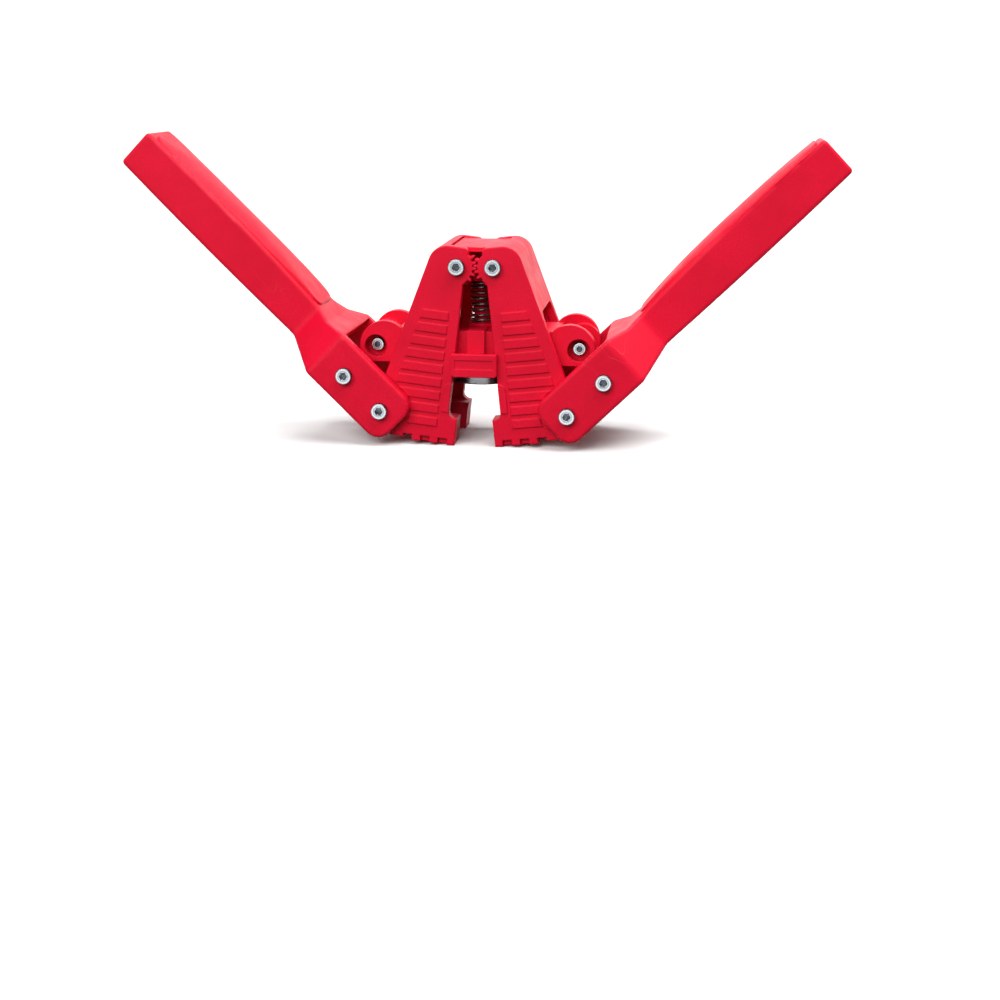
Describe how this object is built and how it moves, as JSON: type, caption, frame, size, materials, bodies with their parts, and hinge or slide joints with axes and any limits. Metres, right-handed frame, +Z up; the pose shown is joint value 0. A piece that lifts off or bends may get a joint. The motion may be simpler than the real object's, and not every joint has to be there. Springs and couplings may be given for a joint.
{
  "type": "hand crown capper",
  "caption": "Double-lever hand capper: geared jaws grip a bottle neck while a sliding crimping bell is pulled down over the crown cap.",
  "frame": {"origin": "on the crown's axis where the straight throat of the crimping bell begins", "axes": "+Z up along the bottle axis, +X to the right handle, front face towards -Y"},
  "size_m": [0.3806, 0.0847, 0.1604],
  "materials": {
    "jaw_plastic": "satin",
    "handle_plastic": "satin",
    "carriage_plastic": "satin",
    "zinc_steel": "bright zinc plate",
    "bell_steel": "satin",
    "spring_steel": "black oiled",
    "magnet_nickel": "nickel plate"
  },
  "bodies": {
    "carriage": {"carriage": "carriage_plastic", "crimping_bell": "bell_steel", "bell_magnet": "magnet_nickel", "front_guide": "carriage_plastic", "rear_guide": "carriage_plastic", "arm_pivot_screws": "zinc_steel", "arm_pivot_nuts": "zinc_steel", "return_spring": "spring_steel"},
    "head": {"head_bridge": "carriage_plastic", "head_pin_screws": "zinc_steel", "head_pin_nuts": "zinc_steel"},
    "left_jaw": {"left_jaw": "jaw_plastic", "left_neck_insert": "jaw_plastic"},
    "left_handle": {"left_handle": "handle_plastic", "left_handle_pivot_screw": "zinc_steel", "left_handle_pivot_nut": "zinc_steel", "left_link_screw": "zinc_steel", "left_link_nut": "zinc_steel"},
    "left_link": {"left_link": "carriage_plastic"},
    "right_jaw": {"right_jaw": "jaw_plastic", "right_neck_insert": "jaw_plastic"},
    "right_handle": {"right_handle": "handle_plastic", "right_handle_pivot_screw": "zinc_steel", "right_handle_pivot_nut": "zinc_steel", "right_link_screw": "zinc_steel", "right_link_nut": "zinc_steel"},
    "right_link": {"right_link": "carriage_plastic"}
  },
  "joints": [
    {"name": "head_slide", "type": "slide", "parent": "carriage", "child": "head", "axis": [0, 0, 1], "range_m": [0, 0.01426], "deforming": ["return_spring"]},
    {"name": "left_jaw_hinge", "type": "hinge", "parent": "head", "child": "left_jaw", "pos_m": [-0.0095, 0, 0.0595], "axis": [0, -1, 0], "range_deg": [0, 6.3]},
    {"name": "left_handle_hinge", "type": "hinge", "parent": "left_jaw", "child": "left_handle", "pos_m": [-0.04955, 0, -0.01621], "axis": [0, -1, 0], "range_deg": [0, 23.7]},
    {"name": "left_link_hinge", "type": "hinge", "parent": "carriage", "child": "left_link", "pos_m": [-0.05406, 0, 0.01595], "axis": [0, -1, 0], "range_deg": [0, 5.36]},
    {"name": "right_jaw_hinge", "type": "hinge", "parent": "head", "child": "right_jaw", "pos_m": [0.0095, 0, 0.0595], "axis": [0, 1, 0], "range_deg": [0, 6.3]},
    {"name": "right_handle_hinge", "type": "hinge", "parent": "right_jaw", "child": "right_handle", "pos_m": [0.04955, 0, -0.01621], "axis": [0, 1, 0], "range_deg": [0, 23.7]},
    {"name": "right_link_hinge", "type": "hinge", "parent": "carriage", "child": "right_link", "pos_m": [0.05406, 0, 0.01595], "axis": [0, 1, 0], "range_deg": [0, 5.36]}
  ],
  "couplings": [
    {"joint": "head_slide", "follows": "right_handle_hinge", "m_per_rad": 0.034471},
    {"joint": "left_jaw_hinge", "follows": "right_handle_hinge", "ratio": 0.2658},
    {"joint": "left_link_hinge", "follows": "right_handle_hinge", "ratio": 0.22614},
    {"joint": "right_jaw_hinge", "follows": "right_handle_hinge", "ratio": 0.2658},
    {"joint": "right_link_hinge", "follows": "right_handle_hinge", "ratio": 0.22614},
    {"joint": "left_handle_hinge", "follows": "right_handle_hinge", "ratio": 1}
  ]
}
